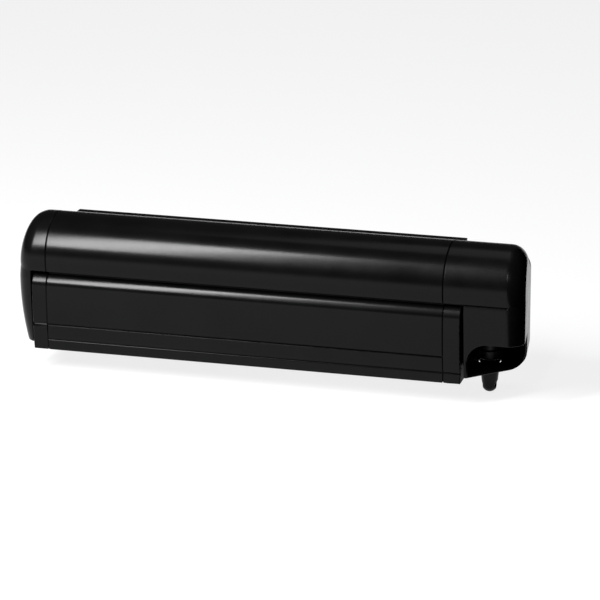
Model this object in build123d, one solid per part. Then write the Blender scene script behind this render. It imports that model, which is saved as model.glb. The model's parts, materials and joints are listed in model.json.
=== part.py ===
from build123d import *
import math
import os

# Frame: x along the case with its middle at 0, y out of the wall is negative, z up.
# The origin is the centre of the wall screws, on the wall.

# Case section
case_length = 382.0
case_height = 126.0
case_depth = 94.0
wall_gap = 10.0
screw_centre_height = 60.0
hood_radius = 37.5
crown_radius = 50.0
case_wall = 2.0
crease_drop = 11.5
crease_lip = 8.0
shoulder_run = 28.5
deck_drop = 19.5
floor_rise = 8.0
floor_depth = 44.0
floor_lip = 12.0
case_corner = 3.0

# Hanging rail on the back of the deck
rail_setback = 7.5
rail_height = 7.0
rail_wall = 2.0
rail_flange = 11.5
rail_lip = 3.4

# Screw ports in the extrusion
port_radius = 3.6
port_bore = 1.85
port_inset = 5.2

# Lead bar section
bar_height = 75.0
bar_depth = 46.0
bar_setback = 1.0
bar_toe_setback = 5.3
bar_waist_setback = 2.0
bar_waist_height = 31.0
bar_top_radius = 13.0
bar_wall = 2.0
bar_flange = 15.5
groove_width = 1.6
groove_depth = 1.2
upper_groove_height = 25.5
lower_groove_height = 10.0
leg_roof_height = 23.0
leg_roof_wall = 1.5
bar_heel_height = 2.0
bead_channel_setback = 12.0
bead_channel_drop = 6.2
bead_channel_radius = 5.2
bead_bore = 3.0
bead_slot = 2.4
left_bar_cap = 15.0
right_bar_cap = 17.0
bar_cap_wall = 2.2
bar_cap_back_height = 44.0
bar_cap_corner = 5.0
seal_height = 2.0
seal_width = 4.0

# End caps of the case
left_cap_length = 31.0
right_cap_length = 77.0
cap_wall = 2.2
cap_round = 16.0
winch_cap_lean = 15.0
bow_top = 8.0
bow_foot = 6.0
seam_width = 0.9
seam_depth = 0.7
cap_back_round = 6.0
cap_flush = 0.6
left_pocket_gap = 1.0
right_pocket_gap = 2.8
pocket_clearance = 1.5
pocket_back_gap = 1.5
recess_height = 39.7
recess_round = 20.0
recess_lip = 5.0
recess_run = 31.0
recess_turn = 39.0
recess_depth = 51.0
eye_clearance = 1.2
crease_groove_width = 1.1
crease_groove_depth = 1.0

# End plates and their screws
plate_thickness = 3.0
plate_inset = 3.4
plate_clearance = 0.5
plate_screw_radius = 1.8
plate_screw_clearance = 0.4
plate_screw_length = 14.0
plate_screw_head_radius = 2.8
plate_screw_head = 2.2

# Roller and canopy
roller_radius = 19.0
roller_wall = 1.6
roller_end_gap = 6.0
canopy_radius = 25.0
canopy_side_gap = 8.0
canopy_thickness = 0.6
soft_gap = 0.3
bead_radius = 2.6
plug_spigot_length = 22.0
plug_flange = 2.0
plug_wall = 4.0
plug_clearance = 0.05
journal_radius = 6.0
bush_wall = 2.0
bush_flange = 1.5
bush_flange_wall = 1.5
running_gap = 0.05

# Winch
gear_module = 2.0
wheel_teeth = 16
wheel_width = 5.0
tooth_addendum_share = 0.8
tooth_dedendum_share = 1.05
tooth_phase_share = 0.25
backlash = 1.0
pressure_angle = 20.0
worm_pitch_radius = 6.5
worm_turns = 3
thread_sink_share = 0.25
worm_centre = 32.0
wheel_hub_radius = 9.5
wheel_hub_length = 13.0
worm_web_gap = 0.6
worm_bush_wall = 1.8
worm_bush_length = 7.2
column_radius = 9.5
collar_radius = 12.0
collar_rise = 11.4
collar_height = 8.6
collar_round = 2.0
column_top_gap = 4.0
winch_web = 4.0
bridge_gap = 12.0
winch_top_block = 7.2

# Crank eye
eye_hub_radius = 9.4
eye_hub_height = 4.0
eye_socket = 14.0
eye_drop = 32.5
eye_end_radius = 7.2
eye_hole = 4.0
eye_gap = 0.6

# Folding arms
arm_length = 145.0
arm_rest_angle = 4.75
arm_inset = 26.0
shoulder_depth = 46.0
arm_floor_height = 28.0
arm_tube_width = 20.0
arm_tube_height = 22.0
arm_tube_wall = 1.6
arm_tube_corner = 3.0
lug_radius = 11.0
lug_plate = 3.0
lug_gap = 1.0
knuckle_spigot = 14.0
spigot_gap = 0.2
pin_radius = 4.0
pin_head_radius = 6.0
pin_head = 1.0
bracket_wall = 4.0
shoulder_bracket_width = 30.0
wrist_bracket_width = 26.0
elbow_collar_start = 13.0
elbow_collar_length = 13.0
spring_radius = 6.0
spring_length = 60.0

# Legs folded into the lead bar
leg_inset = 10.0
leg_lane_start = 6.0
leg_lane_width = 19.5
leg_height = 12.0
leg_size = 16.0
leg_wall = 1.4
leg_corner = 2.0
leg_tube_length = 160.0
leg_knuckle_length = 16.0
leg_knuckle_spigot = 12.0
leg_pin_radius = 2.5
leg_fork_wall = 3.0
leg_slider_size = 12.4
leg_slider_wall = 1.2
leg_slider_length = 170.0
leg_slider_out = 16.0
leg_collar_length = 16.0
leg_foot_radius = 8.0
leg_foot_sole = 6.5
leg_foot_ear = 5.0
lever_drop = 1.7
lever_cam_radius = 1.5
lever_ear = 2.0
lever_width = 6.0
lever_length = 42.0
lever_thickness = 1.8
lever_pin_radius = 0.9

# Wall brackets
bracket_plate = 3.0
bracket_width = 60.0
bracket_spacing = 240.0
bracket_screw_spacing = 60.0
bracket_screw_radius = 3.25
hook_clearance = 0.4
hook_tongue = 2.5
bracket_foot = 14.0
foot_clearance = 0.3
foot_screw_radius = 2.0
foot_screw_head_radius = 3.8
foot_screw_head = 2.4

overrun = 5.0

# Places worked out from the sizes
foot_z = -screw_centre_height
crown_z = foot_z + case_height
back_y = -wall_gap
front_y = back_y - case_depth
roll_y = front_y + hood_radius
roll_z = crown_z - hood_radius
crease_z = roll_z - crease_drop
crease_y = roll_y - math.sqrt(hood_radius ** 2 - crease_drop ** 2)
shoulder_y = roll_y + shoulder_run
shoulder_z = crown_z - crown_radius + math.sqrt(crown_radius ** 2 - shoulder_run ** 2)
deck_z = crown_z - deck_drop
slope_share = shoulder_run / math.sqrt(crown_radius ** 2 - shoulder_run ** 2)
slope_end_y = shoulder_y + (shoulder_z - deck_z) / slope_share
floor_z = foot_z + floor_rise
floor_front_y = back_y - floor_depth
end_x = case_length / 2
bar_top_z = foot_z + bar_height
bar_front_y = front_y + bar_setback
bar_back_y = front_y + bar_depth
pocket_back_y = bar_back_y + pocket_back_gap
pocket_top_z = bar_top_z + pocket_clearance
bead_y = front_y + bead_channel_setback
bead_z = bar_top_z - bead_channel_drop

# Roller and winch places
roller_end = end_x - roller_end_gap
wheel_x = end_x + worm_centre
worm_y = roll_y + gear_module * wheel_teeth / 2 + worm_pitch_radius
roll_axis = (roll_y, roll_z)
worm_axis = (wheel_x, worm_y)
bridge_x = wheel_x + wheel_hub_length / 2 + bridge_gap
eye_top_z = foot_z + collar_rise - eye_gap
worm_tip = worm_pitch_radius + gear_module * tooth_addendum_share
worm_root = worm_pitch_radius - gear_module * tooth_dedendum_share
worm_seat = worm_root + running_gap + worm_bush_wall


def block(xs, ys, zs):
    """A box between two places on each axis."""
    size = [abs(high - low) for low, high in (xs, ys, zs)]
    middle = [(high + low) / 2 for low, high in (xs, ys, zs)]
    return Pos(*middle) * Box(*size)


def rod(axis, along, radius, places):
    """A round bar along x, y or z between two places; the other two coordinates are given in order."""
    low, high = places
    length = abs(high - low)
    middle = (high + low) / 2
    if axis == "x":
        return Pos(middle, *along) * Rot(0, 90, 0) * Cylinder(radius, length)
    if axis == "y":
        return Pos(along[0], middle, along[1]) * Rot(90, 0, 0) * Cylinder(radius, length)
    return Pos(along[0], along[1], middle) * Cylinder(radius, length)


def bar_of(face, low_x, high_x):
    """A section drawn in y and z, drawn out along x."""
    return extrude(Plane.YZ.offset(low_x) * face, amount=high_x - low_x, dir=(1, 0, 0))


def plate_of(face, low_z, high_z):
    """An outline drawn in x and y, drawn out along z."""
    return extrude(Plane.XY.offset(low_z) * face, amount=high_z - low_z, dir=(0, 0, 1))


def slice_of(face, low_y, high_y):
    """An outline drawn in x and z, drawn out along y."""
    plane = Plane((0, low_y, 0), x_dir=(1, 0, 0), z_dir=(0, -1, 0))
    return extrude(plane * face, amount=high_y - low_y, dir=(0, 1, 0))


def strip(path, wall, side):
    """A closed strip of one wall beside an open path."""
    return make_face(offset(path, amount=wall, side=side, closed=True).edges())


def tube_box(xs, centre, size, wall, corner):
    """A rounded rectangular tube along x round a centre in y and z."""
    width, height = size
    outer = RectangleRounded(width, height, corner)
    inner = RectangleRounded(width - 2 * wall, height - 2 * wall, corner - wall)
    return bar_of(Pos(*centre) * (outer - inner), *xs)


def keep(name, shape):
    """Each sub-part goes to its own file."""
    export_step(shape, "parts/" + name + ".step")


def sided(side, left):
    """A piece drawn for the left side, mirrored for the right."""
    return mirror(left, Plane.YZ) if side == "right" else left


def keep_pair(name, left):
    """The left-hand piece and its mirror image."""
    for side in ("left", "right"):
        keep(side + "_" + name, sided(side, left))


def hood_path():
    """The outside of the case from the crease over the hood, deck, back and floor."""
    start = Line((crease_y + crease_lip, crease_z), (crease_y, crease_z))
    rise = math.degrees(math.asin(crease_drop / hood_radius))
    hood = CenterArc((roll_y, roll_z), hood_radius, 180 + rise, -90 - rise)
    turn = math.degrees(math.asin(shoulder_run / crown_radius))
    crown = CenterArc((roll_y, crown_z - crown_radius), crown_radius, 90, -turn)
    rest = FilletPolyline(
        (shoulder_y, shoulder_z),
        (slope_end_y, deck_z),
        (back_y, deck_z),
        (back_y, floor_z),
        (floor_front_y, floor_z),
        (floor_front_y, floor_z + floor_lip),
        radius=case_corner,
    )
    return Wire([start, hood, crown] + list(rest.edges()))


def port_places():
    """The middles of the three screw ports in y and z."""
    low = floor_z + port_inset
    return [
        (back_y - port_inset, deck_z - port_inset),
        (back_y - port_inset, low),
        (floor_front_y + port_inset, low),
    ]


def case_section():
    """The hood with its hanging rail and screw ports."""
    section = strip(hood_path(), case_wall, Side.RIGHT)
    rail_front = back_y - rail_setback
    rail_top = deck_z + rail_height
    rail = Pos(rail_front + rail_wall / 2, (deck_z - case_wall / 2 + rail_top) / 2) * Rectangle(
        rail_wall, rail_height + case_wall / 2
    )
    flange = Pos(rail_front + rail_flange / 2, rail_top - rail_wall / 2) * Rectangle(rail_flange, rail_wall)
    lip_y = rail_front + rail_flange - rail_wall / 2
    lip = Pos(lip_y, rail_top - rail_lip / 2) * Rectangle(rail_wall, rail_lip)
    section = section + rail + flange + lip
    for place in port_places():
        section = section + Pos(*place) * Circle(port_radius)
    for place in port_places():
        section = section - Pos(*place) * Circle(port_bore)
    return section


def case_shell():
    return bar_of(case_section(), -end_x, end_x)


def bar_front_curve():
    """The bowed front face of the lead bar, from its toe to its rounded top edge."""
    toe = (front_y + bar_toe_setback, foot_z)
    waist = (front_y + bar_waist_setback, foot_z + bar_waist_height)
    brow = (bar_front_y, bar_top_z - bar_top_radius)
    face = ThreePointArc(toe, waist, brow)
    crown = CenterArc((bar_front_y + bar_top_radius, bar_top_z - bar_top_radius), bar_top_radius, 180, -90)
    return face, crown


def front_at(height):
    """How far out the lead bar's front face lies at a height over its toe."""
    face = bar_front_curve()[0]
    level = Line((front_y - overrun, foot_z + height), (back_y, foot_z + height))
    hits = level.intersect(face)
    return hits.vertices()[0].Y if hasattr(hits, "vertices") else hits[0].Y


def bar_groove(height):
    """A shallow groove along the lead bar's front."""
    y = front_at(height)
    return Pos(y, foot_z + height) * Rectangle(2 * groove_depth, groove_width)


def lead_bar_section():
    """Front wall, top flange with the bead channel, and the leg channel below."""
    face, crown = bar_front_curve()
    flange = Line(crown @ 1, (front_y + bar_flange, bar_top_z))
    section = strip(Wire([face, crown, flange]), bar_wall, Side.RIGHT)
    section = section + Pos(bead_y, bead_z) * Circle(bead_channel_radius)
    roof_z = foot_z + leg_roof_height - leg_roof_wall / 2
    roof_front = bar_front_y + bar_waist_setback
    roof = Pos((roof_front + bar_back_y) / 2, roof_z) * Rectangle(bar_back_y - roof_front, leg_roof_wall)
    heel_top = foot_z + leg_roof_height
    heel_low = foot_z + bar_heel_height
    heel = Pos(bar_back_y - leg_roof_wall / 2, (heel_top + heel_low) / 2) * Rectangle(
        leg_roof_wall, heel_top - heel_low
    )
    section = section + roof + heel
    section = section - Pos(bead_y, bead_z) * Circle(bead_bore)
    leave = canopy_leave()
    mouth_angle = math.degrees(math.atan2(leave[1] - bead_z, leave[0] - bead_y))
    reach = bead_channel_radius + bead_slot
    mouth = Rot(0, 0, mouth_angle) * Pos(reach / 2, 0) * Rectangle(reach, bead_slot)
    section = section - Pos(bead_y, bead_z) * mouth
    for height in (upper_groove_height, lower_groove_height):
        section = section - bar_groove(height)
    return section


def canopy_leave():
    """Where the free canopy leaves the roll on its way to the bead channel."""
    run = math.hypot(bead_y - roll_y, bead_z - roll_z)
    toward = math.atan2(bead_z - roll_z, bead_y - roll_y)
    turn = toward + math.acos(canopy_radius / run)
    return roll_y + canopy_radius * math.cos(turn), roll_z + canopy_radius * math.sin(turn)


def bar_cap_outline():
    """The lead bar's end outline: front face, rounded top and a back that slopes to the leg channel."""
    face, crown = bar_front_curve()
    toe = face @ 0
    flange_end = front_y + bar_flange + bar_cap_corner
    rest = FilletPolyline(
        crown @ 1,
        (flange_end, bar_top_z),
        (bar_back_y, foot_z + bar_cap_back_height),
        (bar_back_y, foot_z + bar_heel_height),
        toe,
        radius=bar_cap_corner / 2,
    )
    return make_face(Wire([face, crown] + list(rest.edges())).edges())


def bar_cap(length, height):
    """A moulded cap, open towards the bar and grooved at one height, drawn from x = 0 to -length."""
    outline = bar_cap_outline()
    hollow = offset(outline, amount=-bar_cap_wall)
    cap = bar_of(outline, -length, 0)
    cap = fillet(cap.faces().sort_by(Axis.X)[0].edges(), radius=bar_cap_wall / 2)
    cap = cap - bar_of(hollow, bar_cap_wall - length, overrun)
    seam = outline - offset(outline, amount=-seam_depth)
    cap = cap - bar_of(seam, -seam_width, overrun)
    return cap - bar_of(bar_groove(height), bar_cap_wall - length, overrun)


def cap_outline(inset):
    """The end caps' outline, which follows the hood, the back and the lead bar's front."""
    rise = math.degrees(math.asin(crease_drop / hood_radius))
    hood = CenterArc((roll_y, roll_z), hood_radius, 180 + rise, -90 - rise)
    turn = math.degrees(math.asin(shoulder_run / crown_radius))
    crown = CenterArc((roll_y, crown_z - crown_radius), crown_radius, 90, -turn)
    toe_y = front_y + bar_toe_setback
    low_z = floor_z - case_wall
    back = FilletPolyline(
        crown @ 1,
        (slope_end_y, deck_z + cap_flush),
        (back_y, deck_z + cap_flush),
        (back_y, low_z),
        (toe_y, low_z),
        (bar_front_y, crease_z - crease_lip),
        radius=[cap_back_round, 0, 0, 0],
    )
    close = Line(back @ 1, hood @ 0)
    outline = make_face(Wire([hood, crown] + list(back.edges()) + [close]).edges())
    return offset(outline, amount=-inset) if inset else outline


def beyond_lean(length):
    """All that lies outside a flat end which leans in towards the wall."""
    end = -end_x - length
    tip = front_y - overrun
    tail = back_y + overrun
    slope = winch_cap_lean / case_depth
    far = end - 2 * overrun
    side = Polyline((far, tip), (end - overrun * slope, tip), (end + (tail - front_y) * slope, tail), (far, tail), close=True)
    return plate_of(make_face(side.edges()), foot_z - overrun, crown_z + overrun)


def beyond_bow(length):
    """All that lies outside an end which bows out between the foot and the crown."""
    end = -end_x - length
    foot = floor_z - case_wall
    far = end - 2 * overrun
    bow = ThreePointArc((end + bow_foot, foot), (end, (foot + crown_z) / 2), (end + bow_top, crown_z))
    rest = Polyline((end + bow_top, crown_z), (far, crown_z), (far, foot), (end + bow_foot, foot))
    return slice_of(make_face(Wire([bow] + list(rest.edges())).edges()), front_y - overrun, back_y + overrun)


def domed(face, length, beyond, corner, foot):
    """A section drawn out towards -x, cut to its end and rounded; the foot stays sharp unless asked."""
    solid = bar_of(face, -end_x - length - overrun, -end_x) - beyond
    edges = solid.faces().sort_by(Axis.X)[0].edges().sort_by(Axis.Y)[:-1]
    return fillet(edges if foot else edges.sort_by(Axis.Z)[1:], radius=corner)


def bar_pocket(length, grow):
    """The space that the closed lead bar's end takes out of an end cap."""
    return block(
        (-end_x - length - grow, -end_x + overrun),
        (front_y - overrun, pocket_back_y + grow),
        (foot_z - overrun, pocket_top_z + grow),
    )


def end_cap(length, beyond, pocket, foot):
    """A hollow moulded cap for the left end, open towards the case."""
    outer = domed(cap_outline(0), length, beyond(length), cap_round, foot)
    inside = length - cap_wall
    inner = domed(cap_outline(cap_wall), inside, beyond(inside), cap_round - cap_wall, foot)
    inner = inner + bar_of(cap_outline(cap_wall), -end_x - cap_wall, -end_x + overrun)
    outer = outer - bar_pocket(pocket, 0)
    inner = inner - bar_pocket(pocket, cap_wall)
    groove = block(
        (-end_x - length + cap_round, -end_x),
        (front_y - overrun, crease_y + crease_groove_depth),
        (crease_z - crease_groove_width, crease_z),
    )
    seam = bar_of(cap_outline(0) - cap_outline(seam_depth), -end_x - seam_width, -end_x + overrun)
    return outer - inner - groove - seam


def crank_recess():
    """The opening in the foot of the winch cap, drawn for the left side and mirrored with it."""
    near = end_x + right_bar_cap + right_pocket_gap + cap_wall
    far = end_x + right_cap_length + overrun
    top = foot_z + recess_height
    low = foot_z - overrun
    edge = FilletPolyline((-near, low), (-near, top), (-far, top), radius=recess_round, close=False)
    rest = Polyline((-far, top), (-far, low), (-near, low))
    face = make_face(Wire(list(edge.edges()) + list(rest.edges())).edges())
    back = front_y + recess_depth
    plan = Polyline(
        (-near, front_y - overrun),
        (-near, front_y + recess_lip),
        (-near - recess_run, front_y + recess_turn),
        (-near - recess_run - recess_depth + recess_turn, back),
        (-far, back),
        (-far, front_y - overrun),
        close=True,
    )
    opening = slice_of(face, front_y - overrun, back) & plate_of(make_face(plan.edges()), low, top)
    ring = eye_hub_radius + eye_clearance
    return opening + rod("z", (-wheel_x, worm_y), ring, (low, floor_z + case_wall))


def plate_outline():
    """End plate and winch base: the hood's round and the part behind the lead bar."""
    front = front_y - overrun
    back = pocket_back_y + cap_wall + plate_clearance
    low = foot_z - overrun
    top = pocket_top_z + cap_wall + plate_clearance
    pocket = Pos((front + back) / 2, (low + top) / 2) * Rectangle(back - front, top - low)
    return cap_outline(plate_inset) - pocket


def end_plate(bore):
    """A plate against the left end of the case, with its bearing hole and screw holes."""
    plate = bar_of(plate_outline(), -end_x - plate_thickness, -end_x)
    reach = (-end_x - plate_thickness - overrun, -end_x + overrun)
    plate = plate - rod("x", roll_axis, bore, reach)
    for place in port_places():
        plate = plate - rod("x", place, plate_screw_radius + plate_screw_clearance, reach)
    return plate


def plate_screws():
    """Pan-head screws through both end plates into the case's ports."""
    screws = []
    for place in port_places():
        outer = -end_x - plate_thickness
        screw = rod("x", place, plate_screw_radius, (outer, outer + plate_screw_length))
        head = rod("x", place, plate_screw_head_radius, (outer - plate_screw_head, outer))
        screws += [sided(side, screw + head) for side in ("left", "right")]
    return Compound(screws)


def roller_tube():
    """The winding tube."""
    through = roller_end + overrun
    tube = rod("x", roll_axis, roller_radius, (-roller_end, roller_end))
    return tube - rod("x", roll_axis, roller_radius - roller_wall, (-through, through))


def roller_plug(journal_end):
    """The left plug: spigot in the tube, flange against it and a journal."""
    spigot = roller_radius - roller_wall - plug_clearance
    spigot_end = -roller_end + plug_spigot_length
    plug = rod("x", roll_axis, spigot, (-roller_end, spigot_end))
    plug = plug - rod("x", roll_axis, spigot - plug_wall, (-roller_end + plug_flange, spigot_end + overrun))
    plug = plug + rod("x", roll_axis, roller_radius, (-roller_end - plug_flange, -roller_end))
    return plug + rod("x", roll_axis, journal_radius, (-journal_end, -roller_end))


def roller_bush():
    """A flanged bush for the roller's journal in the left end plate."""
    outer = -end_x - plate_thickness
    sleeve = journal_radius + bush_wall
    bush = rod("x", roll_axis, sleeve, (outer, -end_x))
    bush = bush + rod("x", roll_axis, sleeve + bush_flange, (outer - bush_flange_wall, outer))
    return bush - rod("x", roll_axis, journal_radius + running_gap, (outer - overrun, -end_x + overrun))


def canopy_roll():
    """The wound canopy as one closed sleeve round the tube."""
    reach = roller_end - canopy_side_gap
    through = reach + overrun
    roll = rod("x", roll_axis, canopy_radius - soft_gap, (-reach, reach))
    return roll - rod("x", roll_axis, roller_radius + plug_clearance, (-through, through))


def canopy_fabric():
    """The short free stretch of canopy between the roll and the bead channel."""
    reach = roller_end - canopy_side_gap
    leave = canopy_leave()
    run = math.hypot(leave[0] - bead_y, leave[1] - bead_z)
    angle = math.degrees(math.atan2(leave[1] - bead_z, leave[0] - bead_y))
    start = bead_radius + soft_gap
    stretch = Pos((start + run) / 2, 0) * Rectangle(run - start, canopy_thickness)
    face = Pos(bead_y, bead_z) * Rot(0, 0, angle) * stretch
    return bar_of(face, -reach, reach)


def canopy_bead():
    """The round bead that holds the canopy's front edge in the lead bar."""
    reach = end_x - bead_radius
    return rod("x", (bead_y, bead_z), bead_radius, (-reach, reach))


def tooth_outline(pitch_radius, tip, root):
    """One tapered tooth about the x axis of its own sketch, rooted inside the root circle."""
    half = (math.pi * gear_module / 2 - backlash / 2) / 2
    lean = math.tan(math.radians(pressure_angle))
    top = half - (tip - pitch_radius) * lean
    foot = half + (pitch_radius - root) * lean
    return Polyline((root, -foot), (tip, -top), (tip, top), (root, foot), close=True)


def worm_wheel():
    """The wheel on the roller's journal, its teeth turned to the worm's lead."""
    pitch = gear_module * wheel_teeth / 2
    tip = pitch + gear_module * tooth_addendum_share
    root = pitch - gear_module * tooth_dedendum_share
    lead = math.degrees(math.atan(gear_module / (2 * worm_pitch_radius)))
    outline = tooth_outline(pitch, tip, root - gear_module / 2)
    tooth = extrude(make_face(outline.edges()), amount=wheel_width, both=True)
    band = Cylinder(tip, wheel_width)
    wheel = Cylinder(root, wheel_width) + Cylinder(wheel_hub_radius, wheel_hub_length)
    for index in range(wheel_teeth):
        turned = Rot(0, 0, (index + tooth_phase_share) * 360 / wheel_teeth) * Rot(lead, 0, 0) * tooth
        wheel = wheel + (turned & band)
    wheel = wheel - Cylinder(journal_radius + plug_clearance, 2 * wheel_hub_length)
    return Pos(wheel_x, roll_y, roll_z) * Rot(0, 90, 0) * wheel


def worm_shaft():
    """A one-start worm on its upright shaft."""
    pitch = math.pi * gear_module
    tip = worm_tip
    root = worm_root
    half = (pitch / 2 - backlash / 2) / 2
    lean = math.tan(math.radians(pressure_angle))
    height = pitch * worm_turns
    path = Helix(pitch, height, root, lefthand=True)
    base = half + (worm_pitch_radius - root) * lean
    top = half - (tip - worm_pitch_radius) * lean
    sink = root * thread_sink_share
    plane = Plane(path @ 0, x_dir=(1, 0, 0), z_dir=path % 0)
    sunk = base + sink * lean
    crest = tip - root
    flanks = Polyline((-sink, -sunk), (crest, -top), (crest, top), (-sink, sunk), close=True)
    thread = sweep(plane * make_face(flanks.edges()), path=path, is_frenet=True)
    low, high = worm_span()
    head = high + column_top_gap + winch_top_block
    return rod("z", worm_axis, root, (eye_top_z - eye_socket, head)) + Pos(*worm_axis, low) * thread


def worm_span():
    """The foot and head of the worm's thread."""
    half = math.pi * gear_module * worm_turns / 2
    return roll_z - half, roll_z + half


def winch_housing():
    """Cast frame of the winch: base plate, worm column with its collar, back web, bridge and top block."""
    low, high = worm_span()
    collar_z = foot_z + collar_rise
    top_z = high + column_top_gap
    web_y = worm_y + worm_tip + worm_web_gap
    side = (end_x, bridge_x + winch_web)
    base = mirror(end_plate(journal_radius + bush_wall), Plane.YZ)
    roof_z = top_z + winch_top_block
    column = rod("z", worm_axis, column_radius, (collar_z, low - column_top_gap))
    collar = rod("z", worm_axis, collar_radius, (collar_z, collar_z + collar_height))
    column = column + collar
    column = fillet(column.edges().filter_by(GeomType.CIRCLE).group_by(Axis.Z)[0], radius=collar_round)
    web = block(side, (web_y, web_y + winch_web), (collar_z + collar_height, roof_z))
    head = block(side, (worm_y - column_radius, web_y), (top_z, roof_z))
    surround = journal_radius + bush_wall + winch_web
    bridge = block((bridge_x, bridge_x + winch_web), (roll_y - surround, web_y), (roll_z - surround, roof_z))
    housing = base + column + web + head + bridge
    housing = housing - rod("z", worm_axis, worm_seat, (collar_z - overrun, low))
    housing = housing - rod("z", worm_axis, worm_seat, (top_z - worm_web_gap, roof_z + overrun))
    through = (bridge_x - winch_web, bridge_x + 2 * winch_web)
    return housing - rod("x", roll_axis, journal_radius + running_gap, through)


def worm_bushes():
    """Sleeves for the worm shaft at the collar and in the top block."""
    sleeves = []
    for start in (foot_z + collar_rise, worm_span()[1] + column_top_gap):
        end = start + worm_bush_length
        bore = rod("z", worm_axis, worm_root + running_gap, (start - overrun, end + overrun))
        sleeves.append(rod("z", worm_axis, worm_seat, (start, end)) - bore)
    return Compound(sleeves)


def crank_eye():
    """The tapered, round-ended eye under the winch, cross-bored for the hook of the crank."""
    low_z = eye_top_z - eye_drop
    end_z = low_z + eye_end_radius
    shoulder = eye_top_z - eye_hub_height
    head = Polyline((0, low_z), (0, eye_top_z), (eye_hub_radius, eye_top_z), (eye_hub_radius, shoulder))
    flank = Line((eye_hub_radius, shoulder), (eye_end_radius, end_z))
    ball = CenterArc((0, end_z), eye_end_radius, 0, -90)
    profile = make_face(Wire(list(head.edges()) + [flank, ball]).edges())
    eye = Pos(*worm_axis, 0) * revolve(Plane.XZ * profile, axis=Axis.Z)
    socket_z = eye_top_z - eye_socket - plug_clearance
    eye = eye - rod("z", worm_axis, worm_root + plug_clearance, (socket_z, eye_top_z + overrun))
    return eye - rod("x", (worm_y, end_z), eye_hole, (wheel_x - eye_hub_radius, wheel_x + eye_hub_radius))


# Arm places, for the left arm
arm_x = -end_x + arm_inset
shoulder_pivot_y = back_y - shoulder_depth
wrist_pivot_y = shoulder_pivot_y - 2 * arm_length * math.sin(math.radians(arm_rest_angle))
elbow_x = arm_x + arm_length * math.cos(math.radians(arm_rest_angle))
elbow_y = (shoulder_pivot_y + wrist_pivot_y) / 2
arm_low = foot_z + arm_floor_height
arm_high = arm_low + arm_tube_height
arm_middle_z = (arm_low + arm_high) / 2
fork_low = arm_low - lug_gap - lug_plate
fork_high = arm_high + lug_gap + lug_plate
lug_levels = ((fork_low, fork_low + lug_plate), (fork_high - lug_plate, fork_high))
tube_start_x = arm_x + lug_radius + pin_radius + elbow_collar_length / 2
tube_end_x = elbow_x - elbow_collar_start - elbow_collar_length


def lugs(centre, root_y, width, bore):
    """Upper and lower lug plates from a root face out to a round end."""
    plates = []
    for level in lug_levels:
        root = Pos(centre[0], root_y) * Rectangle(width, lug_gap)
        outline = make_hull((Pos(*centre) * Circle(lug_radius)).edges() + root.edges())
        plates.append(plate_of(outline, *level))
    holes = rod("z", centre, bore, (fork_low - overrun, fork_high + overrun))
    return plates[0] + plates[1] - holes


def shoulder_bracket():
    """Bracket on the case's back wall that carries the left arm's shoulder pin."""
    wall_y = back_y - case_wall
    centre = (arm_x, shoulder_pivot_y)
    half = shoulder_bracket_width / 2
    back = block((arm_x - half, arm_x + half), (wall_y - bracket_wall, wall_y), (fork_low, fork_high))
    return back + lugs(centre, wall_y - bracket_wall, shoulder_bracket_width, pin_radius + plug_clearance)


def wrist_bracket():
    """Bracket inside the lead bar that carries the left arm's wrist pin."""
    centre = (arm_x, wrist_pivot_y)
    half = wrist_bracket_width / 2
    wall_y = bar_front_y + bar_wall + bar_waist_setback
    foot = foot_z + leg_roof_height
    front = block((arm_x - half, arm_x + half), (wall_y, wall_y + bracket_wall), (foot, fork_high))
    return front + lugs(centre, wall_y + bracket_wall, wrist_bracket_width, pin_radius + plug_clearance)


def arm_pin(centre):
    """A plain pin with a thin head, flush under the lower lug."""
    pin = rod("z", centre, pin_radius, (fork_low, fork_high))
    return pin + rod("z", centre, pin_head_radius, (fork_high, fork_high + pin_head))


def tube_spigot(x, reach, y):
    """A plug that fits in an arm tube's end."""
    width = arm_tube_width - 2 * (arm_tube_wall + spigot_gap)
    height = arm_tube_height - 2 * (arm_tube_wall + spigot_gap)
    corner = arm_tube_corner - arm_tube_wall
    face = Pos(y, arm_middle_z) * RectangleRounded(width, height, corner)
    return bar_of(face, min(x, x + reach), max(x, x + reach))


def arm_knuckle(y):
    """Cast knuckle at the shoulder or wrist, with its spigot in the tube."""
    shank = Pos(y, arm_middle_z) * RectangleRounded(arm_tube_width, arm_tube_height, arm_tube_corner)
    eye = rod("z", (arm_x, y), lug_radius, (arm_low, arm_high))
    knuckle = eye + bar_of(shank, arm_x, tube_start_x) + tube_spigot(tube_start_x, knuckle_spigot, y)
    return knuckle - rod("z", (arm_x, y), pin_radius + running_gap, (arm_low - overrun, arm_high + overrun))


def arm_tube(y):
    """One arm's drawn tube."""
    size = (arm_tube_width, arm_tube_height)
    return tube_box((tube_start_x, tube_end_x), (y, arm_middle_z), size, arm_tube_wall, arm_tube_corner)


def elbow_outline(y, near):
    """Outline from a tube's end round the elbow pivot."""
    root = Pos((tube_end_x + near) / 2, y) * Rectangle(near - tube_end_x, arm_tube_width)
    throat = Pos(near - lug_gap / 2, y) * Rectangle(lug_gap, arm_tube_width)
    return root + make_hull((Pos(elbow_x, elbow_y) * Circle(lug_radius)).edges() + throat.edges())


def elbow_fork():
    """Fork on the upper arm's end."""
    y = shoulder_pivot_y
    near = elbow_x - elbow_collar_start
    half = arm_tube_width / 2
    fork = block((tube_end_x, near), (y - half, y + half), (fork_low, fork_high))
    for level in lug_levels:
        fork = fork + plate_of(elbow_outline(y, near), *level)
    fork = fork + tube_spigot(tube_end_x, -knuckle_spigot, y)
    through = (fork_low - overrun, fork_high + overrun)
    return fork - rod("z", (elbow_x, elbow_y), pin_radius + plug_clearance, through)


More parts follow.
